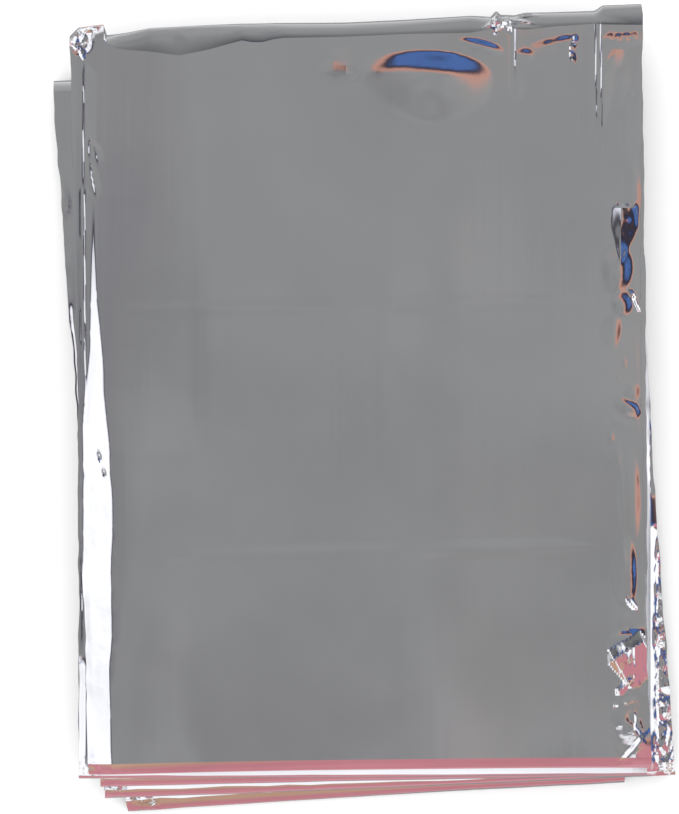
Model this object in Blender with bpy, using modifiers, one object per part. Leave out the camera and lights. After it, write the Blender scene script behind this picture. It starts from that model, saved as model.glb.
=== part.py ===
"""A folded emergency foil blanket, lying flat.

The blanket is one cut sheet of metallised film. It is gathered across its width into a strip, and the strip is
folded back and forth into a stack of layers. The stack is one solid: a long strip, bent at each fold, that has
the thickness of the film packed in one layer. +Y runs up the blanket and +X to its right, and it rests on z = 0.
Run it with: blender --background --python part.py
"""

import math
from collections import namedtuple

import bmesh
import bpy
import numpy as np

MM = 0.001

# Driving sizes in millimetres
LAYER_THICK = 1.0  # the film of one layer, pressed together
LAYER_GAP = 0.4  # air between two layers
CROWN_HEIGHT = 0.9  # how far the stack's middle stands above its edges
RIPPLE_HEIGHT = 0.45  # how far the stack's soft waves rise
RIPPLE_ACROSS = 33.0  # from crest to crest
RIPPLE_ALONG = 47.0
RIPPLE_SLANT = 0.3

LAYER_PITCH = LAYER_THICK + LAYER_GAP
BEND_RADIUS = LAYER_PITCH / 2
BEND_REACH = BEND_RADIUS + LAYER_THICK / 2  # from a bend's centre to its outer face

# Faces along one layer and round one bend
LAYER_STEPS = 10
BEND_STEPS = 5

# Outer edge of the stack at each fold, from the free end underneath to the free end on top.
# draw_in is how far the middle of that edge lies inside the straight line between its ends.
Fold = namedtuple("Fold", "left_x left_y right_x right_y draw_in")
FOLDS = (
    Fold(-45.3, 48.6, 36.9, 51.9, 0.0),  # free end underneath, at the top edge
    Fold(-35.1, -59.5, 38.7, -55.2, 0.2),
    Fold(-46.1, 48.9, 38.7, 52.8, 0.1),
    Fold(-38.3, -57.2, 46.1, -53.7, -0.2),
    Fold(-42.5, 53.9, 39.2, 56.1, 0.3),
    Fold(-38.9, -55.2, 41.7, -53.6, 0.1),
    Fold(-42.6, 54.7, 40.1, 58.2, 0.4),
    Fold(-41.8, -53.7, 41.3, -53.0, -0.1),
    Fold(-43.0, 55.7, 40.5, 59.2, 0.7),
    Fold(-40.0, -52.9, 41.6, -51.9, 0.2),  # free end on top, at the bottom edge
)

# How far each layer's side edges bow to the right at their middles, from the lowest layer up
Layer = namedtuple("Layer", "left_bow right_bow")
LAYERS = (
    Layer(-0.4, 0.3),
    Layer(-1.2, 0.2),
    Layer(0.0, -0.3),
    Layer(0.2, -0.5),
    Layer(-0.6, 0.5),
    Layer(0.7, -0.4),
    Layer(0.3, 0.3),
    Layer(0.5, 0.2),
    Layer(-0.3, -0.7),
)

# Raised lines and hollows of the top layer, a row for each section across it: how far the film stands up at
# the top fold, a quarter down, three quarters down and at the free end, then the height and depth of the
# puffed roll that the top fold makes.
Section = namedtuple("Section", "across top quarter three_quarters end roll_height roll_depth")
SECTIONS = (
    Section(0.000, 0.0, 0.0, 0.1, 0.0, 0.1, 2.5),
    Section(0.028, 0.1, 0.1, 0.3, 0.1, 0.6, 2.5),
    Section(0.050, 0.1, 0.1, 0.7, 0.2, 0.8, 2.5),  # corner flap, and the flank of film below it
    Section(0.078, 0.0, 0.1, 1.0, 0.3, 0.1, 3.5),
    Section(0.140, 0.0, 0.1, 0.7, 0.2, 0.2, 4.2),
    Section(0.210, 0.0, 0.1, 0.4, 0.1, 0.2, 4.2),
    Section(0.305, 0.1, 0.1, 0.1, 0.1, 0.1, 2.8),
    Section(0.430, 0.1, 0.1, 0.1, 0.1, 0.1, 2.8),
    Section(0.560, 0.2, 0.0, 0.1, 0.0, 0.1, 2.8),
    Section(0.630, 0.3, 0.1, 0.1, 0.1, 0.1, 2.8),  # mound below the top fold
    Section(0.762, 0.1, 0.1, 0.1, 0.1, 0.0, 2.2),  # the roll is pinched here
    Section(0.830, 0.2, 0.1, 0.1, 0.1, 0.1, 2.6),
    Section(0.896, 0.1, 0.1, 0.1, 0.1, 0.1, 2.6),
    Section(0.926, 0.2, 0.2, 0.1, 0.1, 0.3, 2.6),  # pleat down from the top fold
    Section(0.958, 0.1, 0.4, 0.4, 0.5, 0.3, 2.8),
    Section(1.000, 0.1, 0.1, 0.1, 0.1, 0.3, 2.8),
)
STATIONS = (0.0, 0.25, 0.75, 1.0)  # shares of the top layer's length where a section gives its heights

# Where the crown dies out
HALF_WIDTH = 42.0
HALF_LENGTH = 56.0

# The film's look
FOIL_COLOUR = (0.78, 0.79, 0.80, 1.0)
FOIL_ROUGHNESS = 0.16


def fold_edge(number, across):
    """Where a fold's outer edge lies, at a share of the way from its left end to its right end."""
    fold = FOLDS[number]
    outward = 1 if number % 2 == 0 else -1
    x = fold.left_x + (fold.right_x - fold.left_x) * across
    y = fold.left_y + (fold.right_y - fold.left_y) * across
    return x, y - outward * fold.draw_in * 4 * across * (1 - across)


def fold_line(number, across):
    """Where the flat film ends and the bend begins, or the cut edge at a free end."""
    x, y = fold_edge(number, across)
    if 0 < number < len(FOLDS) - 1:
        y -= math.copysign(BEND_REACH, y)
    return x, y


def layer_point(number, across, along):
    """Plan place of a point of a layer, along it from the fold before it to the fold after it."""
    x0, y0 = fold_line(number, across)
    x1, y1 = fold_line(number + 1, across)
    layer = LAYERS[number]
    bow = layer.left_bow + (layer.right_bow - layer.left_bow) * across
    return x0 + (x1 - x0) * along + bow * 4 * along * (1 - along), y0 + (y1 - y0) * along


def base_height(number, x, y):
    """Height of a layer's middle: its place in the stack, more crowned and waved the higher it lies."""
    crown = max(0.0, 1 - (x / HALF_WIDTH) ** 2) * max(0.0, 1 - (y / HALF_LENGTH) ** 2)
    across_wave = math.sin(2 * math.pi * x / RIPPLE_ACROSS)
    along_wave = math.sin(2 * math.pi * (y + RIPPLE_SLANT * x) / RIPPLE_ALONG)
    ripple = (2 + across_wave + along_wave) / 4
    share = number / (len(LAYERS) - 1)
    rise = CROWN_HEIGHT * crown + RIPPLE_HEIGHT * ripple
    return LAYER_THICK / 2 + number * LAYER_PITCH + share * rise


def top_lift(section, along, distance):
    """How far the top layer stands up, at a share of its length and a distance from the top fold."""
    heights = (section.top, section.quarter, section.three_quarters, section.end)
    lift = float(np.interp(along, STATIONS, heights))
    if distance < section.roll_depth:
        lift += section.roll_height * math.cos(math.pi / 2 * distance / section.roll_depth)
    return lift


def layer_row(number, along):
    """One row of points across a layer."""
    row = []
    for section in SECTIONS:
        x, y = layer_point(number, section.across, along)
        z = base_height(number, x, y)
        if number == len(LAYERS) - 1:
            z += top_lift(section, along, fold_line(number, section.across)[1] - y)
        row.append((x, y, z))
    return row


def bend_row(number, turn):
    """One row of points round the bend after a layer, at an angle from that layer to the next."""
    row = []
    for section in SECTIONS:
        x, y = fold_line(number + 1, section.across)
        low = base_height(number, x, y)
        high = base_height(number + 1, x, y)
        if number + 1 == len(LAYERS) - 1:
            high += top_lift(section, 0.0, 0.0)
        height = low + (high - low) * (1 - math.cos(turn)) / 2
        row.append((x, y + math.copysign(BEND_RADIUS, y) * math.sin(turn), height))
    return row


def strip_rows():
    """The rows of points of the whole folded strip, from the free end underneath to the one on top."""
    rows = []
    for number in range(len(LAYERS)):
        for step in range(LAYER_STEPS + 1):
            along = (1 - math.cos(math.pi * step / LAYER_STEPS)) / 2
            rows.append(layer_row(number, along))
        if number + 1 < len(LAYERS):
            rows += [bend_row(number, math.pi * step / BEND_STEPS) for step in range(1, BEND_STEPS)]
    return np.array(rows) * MM


def centred(rows):
    """The rows moved sideways so that the stack's outline is centred on the origin."""
    points = rows.reshape(-1, 3)
    middle = (points.max(axis=0) + points.min(axis=0)) / 2
    middle[2] = 0.0
    return rows - middle


def strip_mesh(rows):
    """A grid with a vertex for each point of the strip."""
    row_count, column_count = rows.shape[:2]
    mesh = bpy.data.meshes.new("blanket")
    bm = bmesh.new()
    bmesh.ops.create_grid(bm, x_segments=column_count - 1, y_segments=row_count - 1, size=1.0)
    for vertex in bm.verts:
        column = round((vertex.co.x + 1) / 2 * (column_count - 1))
        row = round((vertex.co.y + 1) / 2 * (row_count - 1))
        vertex.co = rows[row][column]
    bm.to_mesh(mesh)
    bm.free()
    return mesh


def foil_material():
    """Bright metallised film."""
    material = bpy.data.materials.new("foil")
    material.use_nodes = True
    shader = material.node_tree.nodes["Principled BSDF"]
    shader.inputs["Base Color"].default_value = FOIL_COLOUR
    shader.inputs["Metallic"].default_value = 1.0
    shader.inputs["Roughness"].default_value = FOIL_ROUGHNESS
    return material


def make_blanket(collection):
    """The folded blanket: the strip given the thickness of one layer."""
    blanket = bpy.data.objects.new("blanket", strip_mesh(centred(strip_rows())))
    collection.objects.link(blanket)
    blanket.data.materials.append(foil_material())
    thickness = blanket.modifiers.new("thickness", "SOLIDIFY")
    thickness.thickness = LAYER_THICK * MM
    thickness.offset = 0.0
    thickness.use_even_offset = True
    return blanket


def main():
    for old in list(bpy.data.objects):
        bpy.data.objects.remove(old)
    collection = bpy.data.collections.new("foil_blanket")
    bpy.context.scene.collection.children.link(collection)
    make_blanket(collection)


main()
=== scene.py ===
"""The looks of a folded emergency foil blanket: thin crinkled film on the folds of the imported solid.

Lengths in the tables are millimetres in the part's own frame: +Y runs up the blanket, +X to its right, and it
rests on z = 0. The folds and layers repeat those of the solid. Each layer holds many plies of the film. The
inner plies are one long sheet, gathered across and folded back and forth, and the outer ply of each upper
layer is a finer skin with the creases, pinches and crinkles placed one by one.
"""

import math
from collections import namedtuple

import bpy
import numpy as np
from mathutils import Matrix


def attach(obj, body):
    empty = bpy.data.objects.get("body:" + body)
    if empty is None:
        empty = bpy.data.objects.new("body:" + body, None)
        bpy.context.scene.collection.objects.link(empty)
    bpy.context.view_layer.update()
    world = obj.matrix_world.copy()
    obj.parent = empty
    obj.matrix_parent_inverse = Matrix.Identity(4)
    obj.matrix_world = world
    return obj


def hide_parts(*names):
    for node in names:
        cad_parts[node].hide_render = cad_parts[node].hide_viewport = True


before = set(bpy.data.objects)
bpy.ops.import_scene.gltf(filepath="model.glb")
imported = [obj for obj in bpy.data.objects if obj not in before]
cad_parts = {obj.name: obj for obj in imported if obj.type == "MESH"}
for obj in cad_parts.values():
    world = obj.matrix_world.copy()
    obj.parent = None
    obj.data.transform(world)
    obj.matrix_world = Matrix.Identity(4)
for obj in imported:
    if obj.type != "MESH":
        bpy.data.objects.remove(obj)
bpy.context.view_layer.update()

MM = 0.001

# The solid's driving sizes
LAYER_THICK = 1.0
LAYER_GAP = 0.4
LAYER_PITCH = LAYER_THICK + LAYER_GAP
CROWN_HEIGHT = 0.9
RIPPLE_HEIGHT = 0.45
RIPPLE_ACROSS = 33.0
RIPPLE_ALONG = 47.0
RIPPLE_SLANT = 0.3
HALF_WIDTH = 42.0
HALF_LENGTH = 56.0

# Outer edge of the stack at each fold, from the free end underneath to the free end on top
Fold = namedtuple("Fold", "left_x left_y right_x right_y draw_in")
FOLDS = (
    Fold(-45.3, 48.6, 36.9, 51.9, 0.0),
    Fold(-35.1, -59.5, 38.7, -55.2, 0.2),
    Fold(-46.1, 48.9, 38.7, 52.8, 0.1),
    Fold(-38.3, -57.2, 46.1, -53.7, -0.2),
    Fold(-42.5, 53.9, 39.2, 56.1, 0.3),
    Fold(-38.9, -55.2, 41.7, -53.6, 0.1),
    Fold(-42.6, 54.7, 40.1, 58.2, 0.4),
    Fold(-41.8, -53.7, 41.3, -53.0, -0.1),
    Fold(-43.0, 55.7, 40.5, 59.2, 0.7),
    Fold(-40.0, -52.9, 41.6, -51.9, 0.2),
)

# How far each layer's side edges bow to the right at their middles, from the lowest layer up
Layer = namedtuple("Layer", "left_bow right_bow")
LAYERS = (
    Layer(-0.4, 0.3),
    Layer(-1.2, 0.2),
    Layer(0.0, -0.3),
    Layer(0.2, -0.5),
    Layer(-0.6, 0.5),
    Layer(0.7, -0.4),
    Layer(0.3, 0.3),
    Layer(0.5, 0.2),
    Layer(-0.3, -0.7),
)
TOP = len(LAYERS) - 1

# The rounded edge of the top fold, from its left end to its right end: how deep it is, how far its outermost
# line lies outside the solid's, and how far that line stands above the middle of the fold
Roll = namedtuple("Roll", "across depth out lift")
ROLLS = (
    Roll(0.000, 1.8, -1.0, 0.1),
    Roll(0.010, 2.2, -0.3, 0.3),
    Roll(0.018, 2.6, 0.1, 0.9),
    Roll(0.022, 2.4, 0.0, 1.5),
    Roll(0.045, 2.6, 0.25, 1.8),
    Roll(0.061, 2.2, 0.35, 1.7),
    Roll(0.065, 2.2, -1.0, 0.0),
    Roll(0.080, 3.0, -0.9, 0.0),
    Roll(0.100, 3.3, -0.7, 0.0),
    Roll(0.141, 3.6, -0.05, -0.1),
    Roll(0.190, 4.3, 0.1, -0.4),
    Roll(0.240, 3.6, 0.2, -0.2),
    Roll(0.300, 2.3, 0.25, 0.0),
    Roll(0.330, 2.8, 0.2, 0.0),
    Roll(0.365, 2.1, 0.2, 0.0),
    Roll(0.480, 2.3, -0.1, 0.0),
    Roll(0.585, 2.3, -0.1, 0.0),
    Roll(0.700, 2.6, 0.0, 0.0),
    Roll(0.735, 2.2, -0.3, -0.1),
    Roll(0.744, 2.4, 0.5, 0.5),
    Roll(0.752, 1.9, -0.1, 0.0),
    Roll(0.777, 2.4, -0.3, 0.1),
    Roll(0.795, 2.6, 0.0, 0.0),
    Roll(0.848, 2.4, -0.2, 0.0),
    Roll(0.916, 2.4, -0.4, 0.0),
    Roll(0.930, 2.6, 0.3, 0.0),
    Roll(1.000, 3.1, 0.1, 0.0),
)
END_DEPTH = 1.6  # of the rounded free end on top
END_DROP = 1.0  # at its left end
END_DROP_MORE = 0.3  # to its right end
END_STRAIGHT = 0.74

# The rounded edges of the other folds: how deep the steep part is at its left and right end, below a ledge
Edge = namedtuple("Edge", "left right")
EDGES = (
    None,
    Edge(1.7, 1.2),
    Edge(1.6, 1.6),
    Edge(1.4, 0.6),
    Edge(1.6, 1.6),
    Edge(1.3, 0.5),
    Edge(1.6, 1.6),
    Edge(0.6, 0.3),
)
LEDGE = 1.3
LEDGE_DROP = 0.13
FOLD_SLOPE = 0.19  # how steeply the top fold's rounded edge begins
EDGE_SLOPE = 0.46  # the same of the others

# Creases of the top layer: the crest of a roof-like ridge from one point to another, with its reach to either
# side as seen when looking along it, and the shares of its length over which its two ends slope down. A
# negative height makes a trough.
Crease = namedtuple("Crease", "x0 y0 x1 y1 height left right start end")
CREASES = (
    # Down from the pinched place in the top fold
    Crease(22.0, 56.4, 22.0, 44.0, 0.070, 4.0, 0.30, 0.05, 0.5),
    Crease(21.2, 55.6, 21.3, 44.0, -0.020, 0.4, 0.40, 0.05, 0.3),
    Crease(20.2, 57.0, 16.6, 55.4, 0.30, 0.5, 0.6, 0.1, 0.6),
    Crease(20.3, 57.3, 17.4, 57.3, 0.24, 0.5, 0.5, 0.1, 0.6),
    Crease(20.6, 57.0, 25.0, 56.3, 0.30, 0.6, 0.5, 0.1, 0.6),
    Crease(20.8, 57.4, 25.8, 57.6, 0.22, 0.5, 0.5, 0.1, 0.6),
    Crease(20.4, 56.9, 18.6, 54.2, 0.22, 0.4, 0.5, 0.1, 0.6),
    Crease(20.7, 56.9, 21.3, 54.6, 0.20, 0.4, 0.4, 0.1, 0.5),
    # The two sides of the pleat
    Crease(31.5, 56.0, 31.7, 34.0, 0.016, 0.9, 0.22, 0.05, 0.4),
    Crease(33.6, 57.6, 33.8, 36.0, 0.052, 3.0, 0.22, 0.05, 0.6),
    Crease(34.35, 57.6, 34.6, 34.0, 0.058, 4.2, 0.22, 0.05, 0.6),
    # The jagged end of an S-shaped crinkle
    Crease(30.5, 54.9, 30.4, 53.4, 0.10, 0.7, 0.36, 0.3, 0.2),
    Crease(30.4, 53.6, 29.8, 52.4, 0.10, 0.7, 0.36, 0.2, 0.2),
    Crease(29.8, 52.5, 30.4, 50.2, 0.09, 0.7, 0.34, 0.2, 0.3),
    # A fin
    Crease(-2.4, 53.6, -3.0, 47.6, 0.165, 1.4, 2.5, 0.75, 0.25),
    # The right strip, from the top down
    Crease(36.9, 50.5, 37.6, 33.0, 0.014, 3.0, 0.5, 0.10, 0.2),
    Crease(37.3, 30.2, 37.1, 21.0, 0.29, 2.6, 1.45, 0.07, 0.60),
    Crease(36.9, 28.1, 38.9, 27.7, 0.04, 0.3, 0.5, 0.3, 0.3),
    Crease(38.4, 17.6, 39.1, 16.6, 0.09, 0.30, 0.30, 0.3, 0.1),
    Crease(39.0, 16.8, 39.4, 15.4, 0.11, 0.32, 0.32, 0.1, 0.1),
    Crease(39.4, 15.6, 40.3, 14.2, 0.10, 0.30, 0.30, 0.1, 0.3),
    Crease(36.6, 8.0, 37.6, 7.2, 0.012, 0.5, 0.5, 0.3, 0.3),
    Crease(37.6, 8.2, 37.8, 5.8, 0.02, 0.4, 0.3, 0.3, 0.3),
    Crease(36.4, 5.4, 37.4, 4.0, 0.014, 0.5, 0.5, 0.3, 0.3),
    Crease(35.9, -1.2, 40.9, -2.4, 0.012, 0.5, 1.4, 0.1, 0.2),
    Crease(36.6, -5.4, 36.9, -8.8, 0.02, 0.4, 0.4, 0.3, 0.3),
    Crease(37.0, -4.4, 37.9, -26.0, 0.02, 0.5, 2.4, 0.10, 0.2),
    Crease(37.8, -27.0, 39.7, -29.1, 0.20, 0.55, 0.50, 0.3, 0.3),
    Crease(37.0, -31.0, 38.4, -29.6, 0.012, 0.6, 0.6, 0.2, 0.2),
    Crease(41.2, -33.0, 35.2, -36.5, 0.62, 5.2, 1.6, 0.10, 0.15),
    Crease(37.3, -34.0, 39.0, -34.6, 0.05, 0.4, 0.3, 0.2, 0.3),
    Crease(39.2, -33.6, 39.3, -37.4, 0.05, 0.4, 0.3, 0.2, 0.3),
    Crease(36.2, -41.3, 39.4, -38.2, 0.20, 0.60, 0.7, 0.2, 0.3),
    Crease(35.6, -42.9, 39.6, -41.9, 0.07, 0.7, 0.3, 0.1, 0.3),
    Crease(36.2, -45.9, 38.0, -45.4, 0.06, 0.4, 0.4, 0.2, 0.3),
    Crease(39.2, -43.2, 39.0, -46.6, 0.12, 0.35, 0.8, 0.4, 0.3),
    Crease(39.6, -44.4, 40.4, -46.6, 0.06, 0.4, 0.3, 0.2, 0.3),
    # The line down the left strip, and the slashes beside it
    Crease(-40.75, 51.0, -40.8, 32.0, 0.034, 1.8, 0.18, 0.10, 0.1),
    Crease(-40.60, 33.0, -40.5, -4.0, 0.036, 1.8, 0.18, 0.05, 0.3),
    Crease(-41.15, 32.6, -41.10, 24.8, 0.030, 0.3, 0.40, 0.10, 0.1),
    Crease(-41.10, 15.0, -41.05, 9.6, 0.028, 0.3, 0.40, 0.10, 0.1),
    Crease(-38.7, -5.4, -38.3, -7.6, -0.10, 0.3, 0.3, 0.3, 0.3),
    Crease(-38.0, -8.0, -37.6, -9.8, -0.10, 0.3, 0.3, 0.3, 0.3),
    Crease(-39.9, 39.8, -39.9, 36.6, 0.040, 0.9, 0.22, 0.3, 0.2),
    Crease(-39.4, 39.2, -38.6, 35.8, 0.040, 0.9, 0.22, 0.3, 0.2),
    Crease(-40.0, 36.8, -38.9, 30.8, 0.050, 0.9, 0.26, 0.4, 0.2),
    # The top left corner
    Crease(-43.1, 53.0, -41.4, 55.9, 0.30, 0.5, 0.6, 0.2, 0.1),
    Crease(-42.6, 53.6, -41.6, 52.4, 0.16, 0.4, 0.4, 0.2, 0.2),
    Crease(-41.6, 53.2, -40.7, 50.8, 0.14, 0.5, 0.4, 0.2, 0.3),
    Crease(-40.8, 55.2, -38.2, 55.8, 0.20, 0.4, 0.5, 0.2, 0.3),
    # Faint folds that cross the plain middle
    Crease(-24.0, 48.0, -22.6, -50.0, 0.030, 1.6, 1.2, 0.1, 0.1),
    Crease(3.4, 44.0, 4.4, -51.0, 0.030, 1.6, 1.3, 0.1, 0.1),
    Crease(-36.0, 14.6, 34.0, 16.2, 0.030, 1.3, 1.5, 0.1, 0.1),
    Crease(-35.0, -21.4, 35.0, -19.6, 0.030, 1.5, 1.2, 0.1, 0.1),
)
UNEVEN = 0.4  # how much a crease's height varies along it

# The flank of film along the top layer's left side, which rises from its foot to its crest
Flank = namedtuple("Flank", "y foot crest height")
FLANKS = (
    Flank(31.0, -39.5, -39.2, 0.00),
    Flank(24.0, -39.6, -39.2, 0.05),
    Flank(16.0, -39.8, -38.9, 0.17),
    Flank(9.0, -39.9, -38.3, 0.32),
    Flank(3.0, -40.5, -37.9, 0.48),
    Flank(-2.0, -41.0, -37.4, 0.66),
    Flank(-6.0, -40.9, -36.9, 0.74),
    Flank(-16.0, -40.9, -36.7, 0.78),
    Flank(-36.0, -41.2, -36.9, 0.80),
    Flank(-53.0, -41.2, -36.7, 0.80),
)
FLANK_WANDER = 0.5
FLANK_FALL = 15.0  # how far the film takes to fall back from the crest

# Soft mounds of the top layer: half the length, the half widths above and below the long axis, and the turn
Mound = namedtuple("Mound", "x y half_long up down turn height")
MOUNDS = (
    Mound(9.6, 48.7, 9.4, 3.9, 7.0, -3, 0.42),
    Mound(2.4, 48.6, 2.2, 1.6, 1.4, 60, 0.05),
    Mound(16.9, 53.0, 3.7, 1.0, 1.3, -14, 0.11),
    # The S-shaped crinkle, and the zigzags beyond it
    Mound(26.2, 52.5, 4.8, 1.7, 2.4, 18, 0.052),
    Mound(23.3, 51.7, 1.6, 1.0, 1.2, -6, 0.045),
    Mound(25.1, 52.6, 1.3, 1.2, 1.2, 40, 0.010),
    Mound(26.8, 53.1, 1.2, 0.9, 1.1, 15, 0.036),
    Mound(29.1, 53.7, 1.9, 1.0, 1.2, 12, 0.060),
    Mound(37.4, 53.8, 3.6, 1.7, 1.2, 3, 0.056),
    Mound(35.5, 54.3, 0.8, 0.6, 0.5, 50, 0.030),
    Mound(36.7, 54.2, 0.8, 0.6, 0.5, 50, 0.032),
    Mound(37.9, 54.4, 0.8, 0.6, 0.5, 50, 0.030),
    Mound(39.1, 54.5, 0.8, 0.6, 0.5, 50, 0.030),
    Mound(36.0, 51.2, 2.4, 0.9, 1.6, 58, 0.065),
    # The right strip, from the top down
    Mound(39.3, 46.0, 0.4, 0.4, 0.4, 0, -0.020),
    Mound(39.1, 31.5, 5.4, 2.5, 1.3, 91, 0.052),
    Mound(36.9, 29.9, 0.9, 0.5, 0.6, -40, 0.045),
    Mound(38.9, 29.8, 0.9, 0.5, 0.6, 40, 0.045),
    Mound(36.7, 20.6, 3.9, 2.6, 2.4, 86, 0.210),
    Mound(37.4, 15.6, 2.0, 1.8, 1.6, 90, 0.150),
    Mound(36.2, 11.4, 3.0, 2.0, 1.1, 81, 0.066),
    Mound(38.8, 2.9, 1.5, 1.0, 1.5, 25, 0.046),
    Mound(38.4, 0.6, 2.5, 1.0, 1.5, -30, 0.125),
    Mound(35.8, -3.8, 0.9, 0.5, 0.5, 90, 0.040),
    Mound(38.9, -12.6, 8.0, 2.6, 1.3, 91, 0.050),
    Mound(38.4, -23.4, 5.6, 2.6, 1.2, 91, 0.105),
    Mound(38.6, -32.6, 3.6, 1.0, 3.4, 12, 0.190),
    Mound(37.6, -43.4, 2.8, 1.0, 2.4, 45, 0.060),
    Mound(38.9, -46.3, 2.8, 0.8, 2.4, -50, 0.190),
    Mound(39.6, -48.8, 5.2, 0.9, 3.6, 48, 0.340),
)

# Crushed places of each layer: where they lie, and their height
Crush = namedtuple("Crush", "number x y half_wide half_high height")
CRUSHES = (
    Crush(TOP, -41.4, 54.0, 2.4, 2.6, 0.30),
    Crush(TOP, 20.6, 57.0, 1.6, 1.4, 0.08),
    Crush(TOP, 26.0, 53.0, 5.0, 1.6, 0.030),
    Crush(TOP, 9.6, 51.0, 9.0, 2.0, 0.020),
    Crush(TOP, 37.4, 54.6, 3.4, 1.0, 0.040),
    Crush(TOP, 38.0, 26.0, 2.2, 3.4, 0.025),
    Crush(TOP, 38.2, 18.0, 1.6, 5.0, 0.025),
    Crush(TOP, 37.6, 6.0, 2.2, 4.0, 0.015),
    Crush(TOP, 38.9, -24.0, 1.6, 8.0, 0.025),
    Crush(TOP, 38.6, -38.0, 3.2, 8.0, 0.075),
    Crush(TOP, 38.6, -47.0, 2.8, 5.0, 0.090),
    Crush(TOP, -40.0, -52.0, 2.0, 1.8, 0.26),
    Crush(TOP, -38.6, -26.0, 3.4, 30.0, 0.025),
    Crush(3, 43.9, -24.0, 1.3, 7.0, 0.45),
    Crush(3, 44.3, -32.0, 1.9, 9.0, 0.55),
    Crush(3, 44.8, -42.0, 2.5, 9.0, 0.60),
    Crush(3, 45.0, -50.0, 3.0, 6.0, 0.60),
    Crush(1, -33.2, -57.6, 3.4, 3.0, 0.45),
    Crush(3, -37.0, -56.0, 2.4, 2.2, 0.24),
    Crush(5, -37.6, -54.0, 2.2, 2.0, 0.24),
    Crush(2, -44.6, 30.4, 1.6, 3.0, 0.08),
    Crush(2, -43.6, 16.0, 1.2, 10.0, 0.05),
    Crush(7, -41.4, -6.0, 0.9, 3.0, 0.08),
    Crush(7, -40.9, -26.0, 0.7, 12.0, 0.06),
    Crush(7, -41.2, -52.0, 1.6, 2.0, 0.22),
    Crush(7, -40.4, -53.2, 2.2, 1.2, 0.40),
)

# Side margins of lower layers that droop, from one x to another, below the place where the droop is full.
# lean is how far the margin moves sideways for each millimetre up.
Droop = namedtuple("Droop", "number from_x to_x lean depth top full")
DROOPS = (
    Droop(2, -41.98, -42.34, -0.0735, 0.095, 17.0, 15.0),
    Droop(3, 40.6, 42.3, 0.0, 0.36, 60.0, 50.0),
    Droop(3, 42.3, 43.5, 0.0, 0.108, -12.0, -13.0),
    Droop(3, 42.3, 43.5, 0.0, 0.26, -16.6, -17.6),
    Droop(7, -40.6, -42.4, 0.0, 0.34, -36.2, -37.0),
)

# Grid spacings of the skins
FINE = 0.16
MIDDLE = 1.5
ALONG = 0.34
UNDER_FINE = 0.26
UNDER_MIDDLE = 3.2
UNDER_ALONG = 0.8
MARGIN_FINE = 0.14  # of the layer whose crushed margin shows
MARGIN_ALONG = 0.3

# How far the fine spacing reaches in from a side or end of a skin
Reach = namedtuple("Reach", "low high")
TOP_SIDES = Reach(7.0, 10.0)
TOP_ENDS = Reach(10.0, 3.0)
UNDER_SIDES = Reach(5.0, 6.5)
UNDER_ENDS = Reach(2.0, 0.8)

# Extra columns of the top skin, for its mound and the creases beside it
EXTRA_FROM = 54.5
EXTRA_TO = 74.5
EXTRA_FINE = 0.25

# Rows round the rounded edges
TOP_EDGE_ROWS = 20
TOP_END_ROWS = 12
UNDER_EDGE_ROWS = 11
UNDER_END_INSET = 1.2  # how far a lower skin stops short of the next fold

# Edges bent by more than this are creases, the others are rounded
CREASE_ANGLE = math.radians(9)

# Plies in one layer, under its skin
PLIES = 33
PLY_ROWS = 16
PLY_LOW = -0.5
PLY_HIGH = -0.05
PLY_STATIONS = (0.0, 0.03, 0.25, 0.5, 0.75, 0.97, 1.0)
PLY_INSET = 0.45  # how far a ply's side turn lies inside the layer's side, on average
PLY_WANDER = 0.7
PLY_BEND_SHARE = 2.4 / 110.0  # the share of a layer's length that the bend at its fold takes up
PLY_FREE_START = 0.01
PLY_FREE_END = 0.012
PLY_BEND_ANGLES = (45, 90, 135)
PLY_CRUMPLE = 0.6

FOIL_COLOUR = (0.86, 0.865, 0.87)
RANDOM = np.random.default_rng(11).random((64, 64))


def smooth(share):
    """A soft step from 0 to 1."""
    share = np.clip(share, 0.0, 1.0)
    return share * share * (3 - 2 * share)


def facets(x, y, size, turn, seed):
    """Flat-sided crumples, from -0.5 to 0.5: random heights joined by triangles."""
    c, s = math.cos(turn), math.sin(turn)
    u, v = (x * c + y * s) / size + 0.31 * seed, (y * c - x * s) / size - 0.17 * seed
    i, j = np.floor(u).astype(int), np.floor(v).astype(int)
    f, g = u - i, v - j

    def height(a, b):
        return RANDOM[(a + 7 * seed) % 64, (b + 13 * seed) % 64]

    low = height(i, j) + f * (height(i + 1, j) - height(i, j)) + g * (height(i, j + 1) - height(i, j))
    corner = height(i + 1, j + 1)
    high = corner + (1 - f) * (height(i, j + 1) - corner) + (1 - g) * (height(i + 1, j) - corner)
    return np.where(f + g < 1, low, high) - 0.5


def waves(x, y, size, seed):
    """Soft random waves, from -0.5 to 0.5."""
    u, v = x / size + 0.43 * seed, y / size - 0.29 * seed
    i, j = np.floor(u).astype(int), np.floor(v).astype(int)
    f, g = smooth(u - i), smooth(v - j)

    def height(a, b):
        return RANDOM[(a + 5 * seed) % 64, (b + 11 * seed) % 64]

    low = height(i, j) * (1 - f) + height(i + 1, j) * f
    high = height(i, j + 1) * (1 - f) + height(i + 1, j + 1) * f
    return low * (1 - g) + high * g - 0.5


# The scales of crushed film: the size and turn of its facets, what is added to the seed, and the weight
Scale = namedtuple("Scale", "size turn seed weight")
SCALES = (
    Scale(3.1, 0.5, 0, 0.42),
    Scale(1.6, 1.2, 3, 0.33),
    Scale(0.9, 2.1, 4, 0.25),
)
CRUMPLE_BEND = 1.2  # how far the lines between the facets bend
CRUMPLE_BEND_SIZE = 3.0


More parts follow.
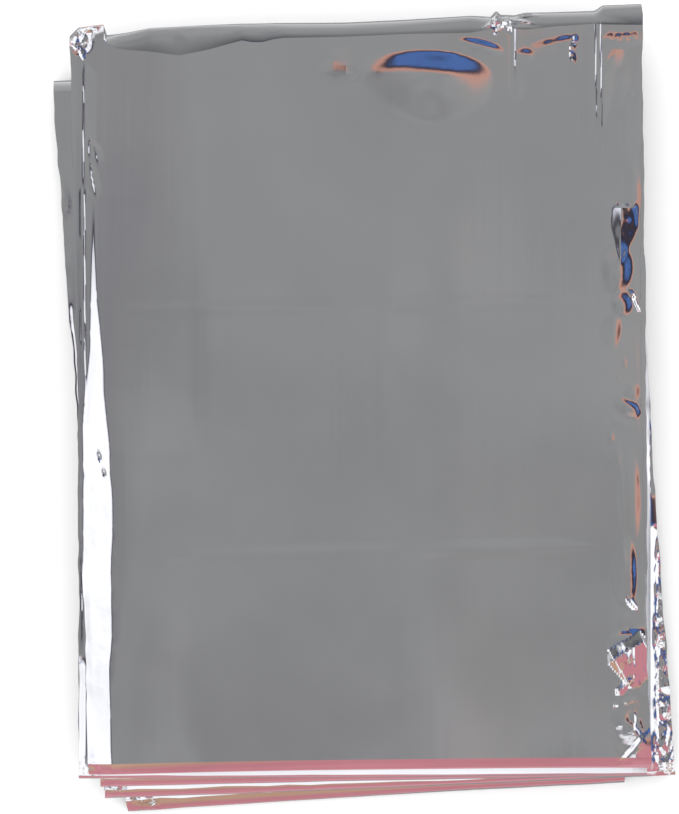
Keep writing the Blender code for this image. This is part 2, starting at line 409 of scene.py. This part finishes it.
def crumple(x, y, seed):
    """Crushed film at three scales, from about -0.5 to 0.5."""
    bend_x = x + CRUMPLE_BEND * waves(x, y, CRUMPLE_BEND_SIZE, seed + 1)
    bend_y = y + CRUMPLE_BEND * waves(x, y, CRUMPLE_BEND_SIZE, seed + 2)
    return sum(c.weight * facets(bend_x, bend_y, c.size, c.turn, seed + c.seed) for c in SCALES)


def fold_edge(number, across):
    """Where a fold's outer edge lies, at a share of the way from its left end to its right end."""
    fold = FOLDS[number]
    outward = 1 if number % 2 == 0 else -1
    x = fold.left_x + (fold.right_x - fold.left_x) * across
    y = fold.left_y + (fold.right_y - fold.left_y) * across
    return x, y - outward * fold.draw_in * 4 * across * (1 - across)


def layer_plan(number, across, along):
    """Plan place of a point of a layer, along it from the fold before it to the fold after it."""
    x0, y0 = fold_edge(number, across)
    x1, y1 = fold_edge(number + 1, across)
    layer = LAYERS[number]
    bow = layer.left_bow + (layer.right_bow - layer.left_bow) * across
    return x0 + (x1 - x0) * along + bow * 4 * along * (1 - along), y0 + (y1 - y0) * along


def layer_height(number, x, y):
    """Height of a layer's middle, as in the solid."""
    crown = np.maximum(0.0, 1 - (x / HALF_WIDTH) ** 2) * np.maximum(0.0, 1 - (y / HALF_LENGTH) ** 2)
    across_wave = np.sin(2 * math.pi * x / RIPPLE_ACROSS)
    along_wave = np.sin(2 * math.pi * (y + RIPPLE_SLANT * x) / RIPPLE_ALONG)
    ripple = (2 + across_wave + along_wave) / 4
    share = number / TOP
    return LAYER_THICK / 2 + number * LAYER_PITCH + share * (CROWN_HEIGHT * crown + RIPPLE_HEIGHT * ripple)


def crease_height(crease, x, y):
    """The flat-sided ridge of one crease."""
    dx, dy = crease.x1 - crease.x0, crease.y1 - crease.y0
    length = math.hypot(dx, dy)
    share = ((x - crease.x0) * dx + (y - crease.y0) * dy) / length**2
    side = ((y - crease.y0) * dx - (x - crease.x0) * dy) / length
    reach = np.where(side > 0, crease.left, crease.right)
    ends = np.clip(np.minimum(share / crease.start, (1 - share) / crease.end), 0.0, 1.0)
    uneven = 1 + UNEVEN * waves(x, y, 3.4, 9)
    return crease.height * uneven * np.maximum(0.0, ends - np.abs(side) / reach)


MOUND_POWER = 1.6  # how softly a mound runs out


def mound_height(mound, x, y):
    """The soft rise of one mound."""
    turn = math.radians(mound.turn)
    u = (x - mound.x) * math.cos(turn) + (y - mound.y) * math.sin(turn)
    v = (y - mound.y) * math.cos(turn) - (x - mound.x) * math.sin(turn)
    reach = np.where(v > 0, mound.up, mound.down)
    inside = np.maximum(0.0, 1 - (u / mound.half_long) ** 2 - (v / reach) ** 2)
    return mound.height * inside**MOUND_POWER


def flank_height(x, y):
    """The rise of film along the top layer's left side."""
    places = [f.y for f in FLANKS[::-1]]
    foot = np.interp(y, places, [f.foot for f in FLANKS[::-1]])
    crest = np.interp(y, places, [f.crest for f in FLANKS[::-1]])
    height = np.interp(y, places, [f.height for f in FLANKS[::-1]])
    wander = FLANK_WANDER * waves(y, np.zeros_like(y), 5.0, 6) * smooth(height / 0.5)
    crest = crest + wander
    rise = (x - foot) / (crest - foot)
    fall = smooth(1 - (x - crest) / FLANK_FALL)
    return height * np.clip(np.where(x < crest, rise, fall), 0.0, 1.0)


def crush_share(number, x, y):
    """How crushed a layer is at a place, as a height."""
    share = np.zeros_like(x)
    for patch in CRUSHES:
        if patch.number == number:
            distance = np.hypot((x - patch.x) / patch.half_wide, (y - patch.y) / patch.half_high)
            share = np.maximum(share, patch.height * smooth(1.6 - 1.6 * distance))
    return share


def top_relief(x, y):
    """Height of the creases and mounds of the top layer."""
    relief = 0.08 * waves(x, y, 24.0, 3) + 0.03 * waves(x, y, 9.0, 5)
    for crease in CREASES:
        relief += crease_height(crease, x, y)
    for mound in MOUNDS:
        relief += mound_height(mound, x, y)
    return relief + flank_height(x, y)


def droop(number, x, y):
    """How far the drooping margins of a lower layer hang down."""
    down = np.zeros_like(x)
    for margin in DROOPS:
        if margin.number == number:
            share = np.clip((x - margin.lean * y - margin.from_x) / (margin.to_x - margin.from_x), 0.0, 1.0)
            down -= margin.depth * share * smooth((margin.top - y) / (margin.top - margin.full))
    return down


def under_relief(number, x, y):
    """Height of the bends of a lower layer."""
    return 0.03 * waves(x, y, 7.0, number) + droop(number, x, y)


def spread(length, fine, low_reach, high_reach, coarse):
    """Places from 0 to a length, closer together near its two ends."""
    low = np.linspace(0, low_reach, max(2, round(low_reach / fine) + 1))
    high = length - np.linspace(high_reach, 0, max(2, round(high_reach / fine) + 1))
    middle_count = max(1, round((length - low_reach - high_reach) / coarse))
    middle = np.linspace(low_reach, length - high_reach, middle_count + 1)[1:-1]
    return np.concatenate([low, middle, high])


def round_drop(share, straight):
    """How far a rounded edge has dropped, from its inner line (0) to its outermost line (1)."""
    return straight * share + (1 - straight) * (1 - np.sqrt(np.maximum(0.0, 1 - share**2)))


class Film:
    """Gathers grids of points into one mesh."""

    def __init__(self):
        self.points = []
        self.faces = []
        self.crumple = []
        self.count = 0

    def add(self, grid, crumple_values):
        rows, columns = grid.shape[:2]
        index = self.count + np.arange(rows * columns).reshape(rows, columns)
        quads = np.stack([index[:-1, :-1], index[:-1, 1:], index[1:, 1:], index[1:, :-1]], axis=-1)
        self.points.append(grid.reshape(-1, 3))
        self.faces.append(quads.reshape(-1, 4))
        self.crumple.append(crumple_values.reshape(-1))
        self.count += rows * columns

    def to_object(self, name, material):
        mesh = bpy.data.meshes.new(name)
        points = np.concatenate(self.points) * MM
        faces = np.concatenate(self.faces)
        mesh.from_pydata(points.tolist(), [], faces.tolist())
        values = mesh.attributes.new("crumple", "FLOAT", "POINT")
        values.data.foreach_set("value", np.concatenate(self.crumple).astype(np.float32))
        mesh.shade_smooth()
        mesh.set_sharp_from_angle(angle=CREASE_ANGLE)
        mesh.materials.append(material)
        made = bpy.data.objects.new(name, mesh)
        bpy.context.scene.collection.objects.link(made)
        return made


WRAPS = ((0.03, 0.16), (0.0, 0.34))  # how far out and down the skin goes past its side edge
WRAP_RADIUS = 0.10
SIDE_EASE = 1.2  # how far in from a side its wandering is felt
UNDERSIDE_INWARD = (5.0, 2.5)
UNDERSIDE_ANGLES = (90, 67, 45, 22)
CRUSH_TO_CRINKLE = 4  # how strongly a crushed place shows the fine crinkles


def wrapped(grid):
    """A skin with its two sides turned down round the edge of the plies."""
    for side, sign in ((0, -1), (-1, 1)):
        turned = [grid[:, side] + np.array((sign * out, 0.0, -down)) for out, down in WRAPS]
        if side == 0:
            grid = np.concatenate([np.stack(turned[::-1], axis=1), grid], axis=1)
        else:
            grid = np.concatenate([grid, np.stack(turned, axis=1)], axis=1)
    return grid


def side_wander(number, y, seed):
    """How far a layer's side edge wanders in and out along it."""
    layer = np.full_like(y, 7.3 * number)
    return 0.4 * waves(y, layer, 6.0, seed) + 0.25 * waves(y, layer, 2.1, seed + 2)


def roll_sizes(number, across):
    """Depth of a fold's rounded edge, how far outside the solid's it lies, and its lift."""
    if number == TOP:
        stations = [r.across for r in ROLLS]
        return [np.interp(across, stations, [r[field] for r in ROLLS]) for field in (1, 2, 3)]
    edge = EDGES[number]
    steep = edge.left + (edge.right - edge.left) * across
    wobble = waves(across * 24, np.full_like(across, number), 1.0, number)
    return steep * (1 + 0.25 * wobble), 0.1 * wobble, np.zeros_like(across)


class Skin:
    """The outer ply of a layer, from its underside, round the fold before it and along its top."""

    def __init__(self, number, columns):
        self.number = number
        self.columns = columns
        self.width = columns[-1]
        self.across = columns / self.width
        self.depth, self.out, self.lift = roll_sizes(number, self.across)
        _, self.fold_y = fold_edge(number, self.across)
        _, end_y = fold_edge(number + 1, self.across)
        self.length = np.abs(end_y - self.fold_y)
        self.rows = []
        self.values = []

    def place(self, inward, lift_share, outside=1.0, drop=0.0):
        """Add a row, at a distance inward from the fold's outermost line.

        lift_share is -1 on the underside, 0 at the middle of the fold and 1 on the top.
        """
        number, across = self.number, self.across
        inward = inward + np.zeros_like(across)
        lift_share = lift_share + np.zeros_like(across)
        x, y = layer_plan(number, across, (inward - self.out * outside) / self.length)
        above, below = layer_height(number, x, y), layer_height(number - 1, x, y)
        middle = (above + below) / 2
        upper = np.clip(lift_share, 0.0, 1.0)
        rise = above - middle + LAYER_THICK / 2
        fall = middle - below + LAYER_THICK / 2
        z = middle + np.where(lift_share >= 0, rise, fall) * lift_share
        z = z + self.lift * (1 - np.abs(lift_share))
        crush = crush_share(number, x, y)
        relief = top_relief(x, y) if number == TOP else under_relief(number, x, y)
        relief = relief + 2 * crush * crumple(x, y, 3 * number + 2)
        z = z + relief * (1 - (1 - upper) ** 2) - drop
        to_side = np.minimum(self.columns, self.width - self.columns)
        inwards = np.where(across < 0.5, 1, -1) * smooth(1 - to_side / SIDE_EASE)
        x = x + inwards * (WRAP_RADIUS + side_wander(number, y, 4))
        self.rows.append(np.stack([x, y, z], axis=-1))
        self.values.append(np.minimum(1.0, CRUSH_TO_CRINKLE * crush))

    def underside(self):
        reach = LAYER_PITCH / 2 + LAYER_THICK / 2
        for inward in UNDERSIDE_INWARD:
            self.place(reach + inward, -1.0, 0.0)
        for angle in np.radians(UNDERSIDE_ANGLES):
            self.place(reach * (1 - math.cos(angle)), -math.sin(angle), math.cos(angle))

    def edge(self, steps):
        """The rounded edge, with a last row so near its inner line that the crease there is crisp."""
        shares = [math.cos(math.pi / 2 * step / steps) for step in range(steps)] + [0.015]
        ledge = 0.0 if self.number % 2 == 0 else LEDGE_DROP
        slope = FOLD_SLOPE if self.number == TOP else EDGE_SLOPE
        straight = np.minimum(0.9, slope * self.depth / (LAYER_PITCH / 2 + LAYER_THICK / 2))
        for share in shares:
            drop = (1 - ledge) * round_drop(share, straight)
            self.place(self.depth * (1 - share), 1 - ledge - drop, share)
        if ledge:
            self.place(self.depth + 0.02, 1 - ledge, 0.0)
            self.depth = self.depth + LEDGE
            self.place(self.depth - 0.02, 1.0, 0.0)

    def panel(self, shares, last):
        for share in shares:
            self.place(self.depth + (last - self.depth) * share, 1.0, 0.0)

    def free_end(self, steps):
        last = self.length - END_DEPTH
        for step in range(steps + 1):
            share = max(0.01, math.sin(math.pi / 2 * step / steps))
            full = END_DROP + END_DROP_MORE * self.across
            self.place(last + END_DEPTH * share, 1.0, 0.0, full * round_drop(share, END_STRAIGHT))

    def grid(self):
        side = (len(WRAPS), len(WRAPS))
        return wrapped(np.stack(self.rows)), np.pad(np.stack(self.values), ((0, 0), side), mode="edge")


PANEL = 108.0  # about how long a layer's flat part is


def make_top_ply(material):
    """The outer ply of the top layer, finest near its sides and ends."""
    width = FOLDS[TOP].right_x - FOLDS[TOP].left_x
    extra = np.arange(EXTRA_FROM, EXTRA_TO, EXTRA_FINE)
    columns = np.concatenate([spread(width, FINE, *TOP_SIDES, MIDDLE), extra])
    skin = Skin(TOP, np.unique(columns.round(3)))
    skin.underside()
    skin.edge(TOP_EDGE_ROWS)
    skin.panel(spread(PANEL, FINE, *TOP_ENDS, ALONG) / PANEL, skin.length - END_DEPTH)
    skin.free_end(TOP_END_ROWS)
    film = Film()
    film.add(*skin.grid())
    return film.to_object("top_ply", material)


def make_under_plies(material, name, numbers, fine, along):
    """The outer plies of some lower layers."""
    film = Film()
    for number in numbers:
        width = FOLDS[number].right_x - FOLDS[number].left_x
        skin = Skin(number, spread(width, fine, *UNDER_SIDES, UNDER_MIDDLE))
        skin.underside()
        skin.edge(UNDER_EDGE_ROWS)
        skin.panel(spread(PANEL, UNDER_FINE, *UNDER_ENDS, along) / PANEL, skin.length - UNDER_END_INSET)
        film.add(*skin.grid())
    return film.to_object(name, material)


def ply_row(number, along):
    """One row of points across all the plies of a layer, gathered from side to side."""
    stations = np.array(PLY_STATIONS)
    row = []
    for ply in range(PLIES):
        across = stations if ply % 2 == 0 else stations[::-1]
        share = ply / (PLIES - 1)
        x, y = layer_plan(number, across, np.full_like(across, along))
        offset = PLY_LOW + (PLY_HIGH - PLY_LOW) * (share if number % 2 == 0 else 1 - share)
        z = layer_height(number, x, y) + offset + droop(number, x, y)
        sign = np.where(across < 0.5, 1, -1)
        at_side = (across <= 0.0) | (across >= 1.0)
        wander = PLY_INSET + PLY_WANDER * waves(y, np.full_like(y, 3.1 * ply), 6.0, number)
        x = x + np.where(at_side, sign * wander, 0.0)
        row.append(np.stack([x, y, z], axis=-1))
    return np.concatenate(row)


def make_inner_plies(material):
    """The plies under the skins: one sheet, gathered across and folded back and forth."""
    film = Film()
    rows = []
    for number in range(len(LAYERS)):
        steps = np.linspace(0, 1, PLY_ROWS + 1)
        start = PLY_BEND_SHARE if number > 0 else PLY_FREE_START
        end = 1 - PLY_BEND_SHARE if number < TOP else 1 - PLY_FREE_END
        rows += [ply_row(number, start + (end - start) * s) for s in steps]
        if number < TOP:
            low = rows[-1]
            high = ply_row(number + 1, PLY_BEND_SHARE)
            outward = np.sign(FOLDS[number + 1].left_y)
            for angle in PLY_BEND_ANGLES:
                share = (1 - math.cos(math.radians(angle))) / 2
                bend = low + (high - low) * share
                radius = np.abs(high[:, 2] - low[:, 2]) / 2
                bend[:, 1] += outward * radius * math.sin(math.radians(angle))
                rows.append(bend)
    grid = np.stack(rows)
    film.add(grid, np.full(grid.shape[:2], PLY_CRUMPLE))
    return film.to_object("inner_plies", material)


def node(tree, kind, **inputs):
    """A shader node with some of its inputs set."""
    made = tree.nodes.new(kind)
    for name, value in inputs.items():
        made.inputs[name.replace("_", " ")].default_value = value
    return made


HAZE_SCALE = 60.0
HAZE_DETAIL = 4.0
ROUGH_LOW = 0.05
ROUGH_HIGH = 0.14
TONE_LOW = 0.35
TONE_HIGH = 0.65
TONE_DARKER = 0.95
CRINKLE_SCALE = 900.0
CRINKLE_DEPTH = 0.00012
STREAK_SCALE = (420.0, 14.0, 14.0)
STREAK_DEPTH = 0.000012
FINE_DETAIL = 2.0


def foil_material():
    """Vapour-metallised film: bright, a little hazy, with fine crinkles where it is crumpled."""
    material = bpy.data.materials.new("foil")
    material.use_nodes = True
    tree = material.node_tree
    link = tree.links.new
    shader = tree.nodes["Principled BSDF"]
    shader.inputs["Metallic"].default_value = 1.0
    place = tree.nodes.new("ShaderNodeTexCoord").outputs["Object"]
    crumpled = tree.nodes.new("ShaderNodeAttribute")
    crumpled.attribute_name = "crumple"

    haze = node(tree, "ShaderNodeTexNoise", Scale=HAZE_SCALE, Detail=HAZE_DETAIL)
    link(place, haze.inputs["Vector"])
    rough = node(tree, "ShaderNodeMapRange", To_Min=ROUGH_LOW, To_Max=ROUGH_HIGH)
    link(haze.outputs["Fac"], rough.inputs["Value"])
    link(rough.outputs["Result"], shader.inputs["Roughness"])

    tone = tree.nodes.new("ShaderNodeValToRGB")
    tone.color_ramp.elements[0].position = TONE_LOW
    tone.color_ramp.elements[0].color = (*[c * TONE_DARKER for c in FOIL_COLOUR], 1)
    tone.color_ramp.elements[1].position = TONE_HIGH
    tone.color_ramp.elements[1].color = (*FOIL_COLOUR, 1)
    link(haze.outputs["Fac"], tone.inputs["Fac"])
    link(tone.outputs["Color"], shader.inputs["Base Color"])

    fine = node(tree, "ShaderNodeTexNoise", Scale=CRINKLE_SCALE, Detail=FINE_DETAIL)
    link(place, fine.inputs["Vector"])
    masked = tree.nodes.new("ShaderNodeMath")
    masked.operation = "MULTIPLY"
    link(fine.outputs["Fac"], masked.inputs[0])
    link(crumpled.outputs["Fac"], masked.inputs[1])
    crinkle = node(tree, "ShaderNodeBump", Strength=1.0, Distance=CRINKLE_DEPTH)
    link(masked.outputs["Value"], crinkle.inputs["Height"])
    streak_place = node(tree, "ShaderNodeMapping", Scale=STREAK_SCALE)
    link(place, streak_place.inputs["Vector"])
    streaks = node(tree, "ShaderNodeTexNoise", Scale=1.0, Detail=FINE_DETAIL)
    link(streak_place.outputs["Vector"], streaks.inputs["Vector"])
    drawn = node(tree, "ShaderNodeBump", Strength=1.0, Distance=STREAK_DEPTH)
    link(streaks.outputs["Fac"], drawn.inputs["Height"])
    link(crinkle.outputs["Normal"], drawn.inputs["Normal"])
    link(drawn.outputs["Normal"], shader.inputs["Normal"])
    return material


Stop = namedtuple("Stop", "degrees colour")
GREY = (0.30, 0.305, 0.31)
DARK = (0.02, 0.02, 0.03)
SALMON = (0.62, 0.33, 0.26)
BLUE = (0.08, 0.16, 0.42)
ROSE = (0.62, 0.25, 0.29)
TAN = (0.58, 0.36, 0.26)
WHITE = (1.15, 1.15, 1.2)
PALE = (0.55, 0.56, 0.58)

# What the film mirrors on each side of it, by the angle from straight overhead
BEHIND = (
    Stop(0, GREY),
    Stop(12.5, (0.31, 0.315, 0.32)),
    Stop(13.5, SALMON),
    Stop(16, SALMON),
    Stop(17, DARK),
    Stop(19, DARK),
    Stop(20, BLUE),
    Stop(27, BLUE),
    Stop(28, DARK),
    Stop(31, (0.14, 0.14, 0.145)),
    Stop(40, (0.27, 0.275, 0.28)),
    Stop(64, (0.42, 0.42, 0.43)),
    Stop(90, (0.75, 0.75, 0.76)),
)
FRONT = (
    Stop(0, GREY),
    Stop(10, (0.26, 0.26, 0.27)),
    Stop(13, (0.24, 0.24, 0.25)),
    Stop(14.5, (0.80, 0.80, 0.84)),
    Stop(22, WHITE),
    Stop(44, WHITE),
    Stop(47, DARK),
    Stop(50, TAN),
    Stop(60, TAN),
    Stop(66, ROSE),
    Stop(90, ROSE),
)
CORNER = (
    Stop(0, GREY),
    Stop(12.5, (0.30, 0.295, 0.30)),
    Stop(14.5, TAN),
    Stop(16, TAN),
    Stop(17, ROSE),
    Stop(40, ROSE),
    Stop(44, DARK),
    Stop(50, TAN),
    Stop(66, WHITE),
    Stop(90, PALE),
)
LEFT = (
    Stop(0, GREY),
    Stop(9, (0.27, 0.27, 0.28)),
    Stop(13, (0.20, 0.20, 0.22)),
    Stop(14.5, (0.05, 0.05, 0.06)),
    Stop(18, (0.06, 0.05, 0.06)),
    Stop(20, (0.72, 0.72, 0.84)),
    Stop(26, WHITE),
    Stop(42, WHITE),
    Stop(50, (0.80, 0.80, 0.90)),
    Stop(54, DARK),
    Stop(60, PALE),
    Stop(90, WHITE),
)
RIGHT = (
    Stop(0, GREY),
    Stop(12.5, (0.33, 0.335, 0.34)),
    Stop(13.5, SALMON),
    Stop(16, SALMON),
    Stop(17, DARK),
    Stop(20.5, DARK),
    Stop(22, BLUE),
    Stop(27, BLUE),
    Stop(28.5, DARK),
    Stop(30.5, (0.80, 0.80, 0.84)),
    Stop(36, WHITE),
    Stop(70, WHITE),
    Stop(74, PALE),
    Stop(90, WHITE),
)
ROOM_GRAIN = 7.0  # how fine the light and dark patches of the room are
ROOM_CONTRAST = 0.35


def ramp(tree, value, stops, full):
    """A colour ramp from stops, where full is the value at its right end."""
    made = tree.nodes.new("ShaderNodeValToRGB")
    elements = made.color_ramp.elements
    while len(elements) < len(stops):
        elements.new(0.5)
    for element, stop in zip(elements, stops):
        element.position = stop.degrees / full
        element.color = (*stop.colour, 1)
    tree.links.new(value, made.inputs["Fac"])
    return made.outputs["Color"]


def calculate(tree, operation, *values):
    """A maths node on sockets and numbers."""
    made = tree.nodes.new("ShaderNodeMath")
    made.operation = operation
    for socket, value in zip(made.inputs, values):
        if isinstance(value, (int, float)):
            socket.default_value = value
        else:
            tree.links.new(value, socket)
    return made.outputs["Value"]


def mixed(tree, share, first, second):
    """A blend of two colours."""
    made = tree.nodes.new("ShaderNodeMix")
    made.data_type = "RGBA"
    for name, value in (("Factor", share), ("A", first), ("B", second)):
        socket = next(s for s in made.inputs if s.name == name and s.enabled)
        if isinstance(value, tuple):
            socket.default_value = (*value, 1)
        else:
            tree.links.new(value, socket)
    return next(s for s in made.outputs if s.enabled)


def scaled(tree, colour, factor):
    """A colour made lighter or darker."""
    made = tree.nodes.new("ShaderNodeVectorMath")
    made.operation = "SCALE"
    tree.links.new(colour, made.inputs["Vector"])
    tree.links.new(factor, made.inputs["Scale"])
    return made.outputs["Vector"]


SECTOR_SOFTNESS = 8.0  # degrees over which one side's surroundings blend into the next

# Each stretch of the room, by the heading of its middle and its half width in degrees. A later one covers an
# earlier one.
Sector = namedtuple("Sector", "middle half stops")
SECTORS = (
    Sector(90, 52, BEHIND),
    Sector(175, 50, LEFT),
    Sector(-45, 22, CORNER),
    Sector(-103, 36, FRONT),
)
OVERHEAD_TO_LEVEL = 90  # degrees
MATT_SEES = (1.12, 1.12, 1.12)
CAMERA_SEES = (1.0, 1.0, 1.0)


def surroundings():
    """A white room for the camera and matt surfaces. The film mirrors one of coloured stretches instead."""
    world = bpy.data.worlds.new("room")
    bpy.context.scene.world = world
    world.use_nodes = True
    tree = world.node_tree
    tree.nodes.clear()
    way = tree.nodes.new("ShaderNodeTexCoord").outputs["Generated"]
    parts = tree.nodes.new("ShaderNodeSeparateXYZ")
    tree.links.new(way, parts.inputs["Vector"])
    x, y, z = parts.outputs
    tilt = calculate(tree, "MULTIPLY", calculate(tree, "ARCCOSINE", z), 2 / math.pi)
    heading = calculate(tree, "MULTIPLY", calculate(tree, "ARCTAN2", y, x), 180 / math.pi)

    def sector(middle, half):
        """1 in a sector of headings, 0 outside it."""
        off = calculate(tree, "ABSOLUTE", calculate(tree, "SUBTRACT", heading, middle))
        round_off = calculate(tree, "MINIMUM", off, calculate(tree, "SUBTRACT", 360.0, off))
        over = calculate(tree, "SUBTRACT", half, round_off)
        share = calculate(tree, "MAXIMUM", calculate(tree, "DIVIDE", over, SECTOR_SOFTNESS), 0.0)
        return calculate(tree, "MINIMUM", share, 1.0)

    colour = ramp(tree, tilt, RIGHT, OVERHEAD_TO_LEVEL)
    for stretch in SECTORS:
        stretch_colour = ramp(tree, tilt, stretch.stops, OVERHEAD_TO_LEVEL)
        colour = mixed(tree, sector(stretch.middle, stretch.half), colour, stretch_colour)
    patches = node(tree, "ShaderNodeTexNoise", Scale=ROOM_GRAIN, Detail=3.0)
    tree.links.new(way, patches.inputs["Vector"])
    patch = calculate(tree, "MULTIPLY_ADD", patches.outputs["Fac"], 2 * ROOM_CONTRAST, 1 - ROOM_CONTRAST)
    colour = scaled(tree, colour, patch)

    rays = tree.nodes.new("ShaderNodeLightPath")
    colour = mixed(tree, rays.outputs["Is Diffuse Ray"], colour, MATT_SEES)
    colour = mixed(tree, rays.outputs["Is Camera Ray"], colour, CAMERA_SEES)
    background = tree.nodes.new("ShaderNodeBackground")
    tree.links.new(colour, background.inputs["Color"])
    output = tree.nodes.new("ShaderNodeOutputWorld")
    tree.links.new(background.outputs["Background"], output.inputs["Surface"])


FLOOR_SIZE = 4.0
FLOOR_DROP = 0.00005  # below the blanket, so that the two don't coincide
FLOOR_ROUGHNESS = 0.9
FLOOR_SEEN = (0.95, 0.95, 0.95)
FLOOR_MIRRORED = (0.26, 0.26, 0.27)
FLOOR_ROSY = (0.52, 0.22, 0.25)
ROSY_FROM = -0.064  # where the rosy stretch begins, and where it is full
ROSY_FULL = -0.068


def floor_material():
    """Pale paper for the camera. Other rays see it darker, with a rosy stretch in front of the blanket."""
    material = bpy.data.materials.new("floor")
    material.use_nodes = True
    tree = material.node_tree
    shader = tree.nodes["Principled BSDF"]
    shader.inputs["Roughness"].default_value = FLOOR_ROUGHNESS
    place = tree.nodes.new("ShaderNodeTexCoord").outputs["Object"]
    parts = tree.nodes.new("ShaderNodeSeparateXYZ")
    tree.links.new(place, parts.inputs["Vector"])
    in_front = node(tree, "ShaderNodeMapRange", From_Min=ROSY_FROM, From_Max=ROSY_FULL)
    tree.links.new(parts.outputs["Y"], in_front.inputs["Value"])
    mirrored = mixed(tree, in_front.outputs["Result"], FLOOR_MIRRORED, FLOOR_ROSY)
    rays = tree.nodes.new("ShaderNodeLightPath")
    colour = mixed(tree, rays.outputs["Is Camera Ray"], mirrored, FLOOR_SEEN)
    tree.links.new(colour, shader.inputs["Base Color"])
    return material


def make_floor():
    bpy.ops.mesh.primitive_plane_add(size=FLOOR_SIZE, location=(0, 0, -FLOOR_DROP))
    floor = bpy.context.object
    floor.name = "floor"
    floor.data.materials.append(floor_material())


# The camera looks straight down. The picture's middle lies a little left of the blanket's.
CAMERA_X = -0.00365
CAMERA_Y = 0.0006
CAMERA_HEIGHT = 0.50
VIEW_HEIGHT = 0.1183  # what the picture's height covers at the blanket's top
TOP_HEIGHT = 0.0122
SENSOR = 24.0


def make_camera():
    data = bpy.data.cameras.new("camera")
    data.sensor_fit = "VERTICAL"
    data.sensor_height = SENSOR
    data.lens = SENSOR * (CAMERA_HEIGHT - TOP_HEIGHT) / VIEW_HEIGHT
    data.clip_start = 0.01
    camera = bpy.data.objects.new("camera", data)
    camera.location = (CAMERA_X, CAMERA_Y, CAMERA_HEIGHT)
    bpy.context.scene.collection.objects.link(camera)
    bpy.context.scene.camera = camera


KEY_PLACE = (-0.15, 0.2, 1.0)
KEY_SIZE = 1.2
KEY_POWER = 5.0


def soft_light(name, place, size, power):
    """A square soft light that shines at the blanket and that the film doesn't mirror."""
    data = bpy.data.lights.new(name, "AREA")
    data.size = size
    data.energy = power
    light = bpy.data.objects.new(name, data)
    light.location = place
    light.rotation_euler = (-light.location).to_track_quat("-Z", "Y").to_euler()
    light.visible_glossy = False
    bpy.context.scene.collection.objects.link(light)


def main():
    foil = foil_material()
    top = make_top_ply(foil)
    margin = make_under_plies(foil, "margin_ply", (3,), MARGIN_FINE, MARGIN_ALONG)
    under = make_under_plies(foil, "under_plies", (1, 2, 4, 5, 6, 7), UNDER_FINE, UNDER_ALONG)
    inner = make_inner_plies(foil)
    for piece in (top, margin, under, inner):
        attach(piece, "root")
        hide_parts("blanket")
    make_floor()
    surroundings()
    soft_light("key", KEY_PLACE, KEY_SIZE, KEY_POWER)
    make_camera()
    bpy.context.scene.view_settings.view_transform = "Standard"


main()
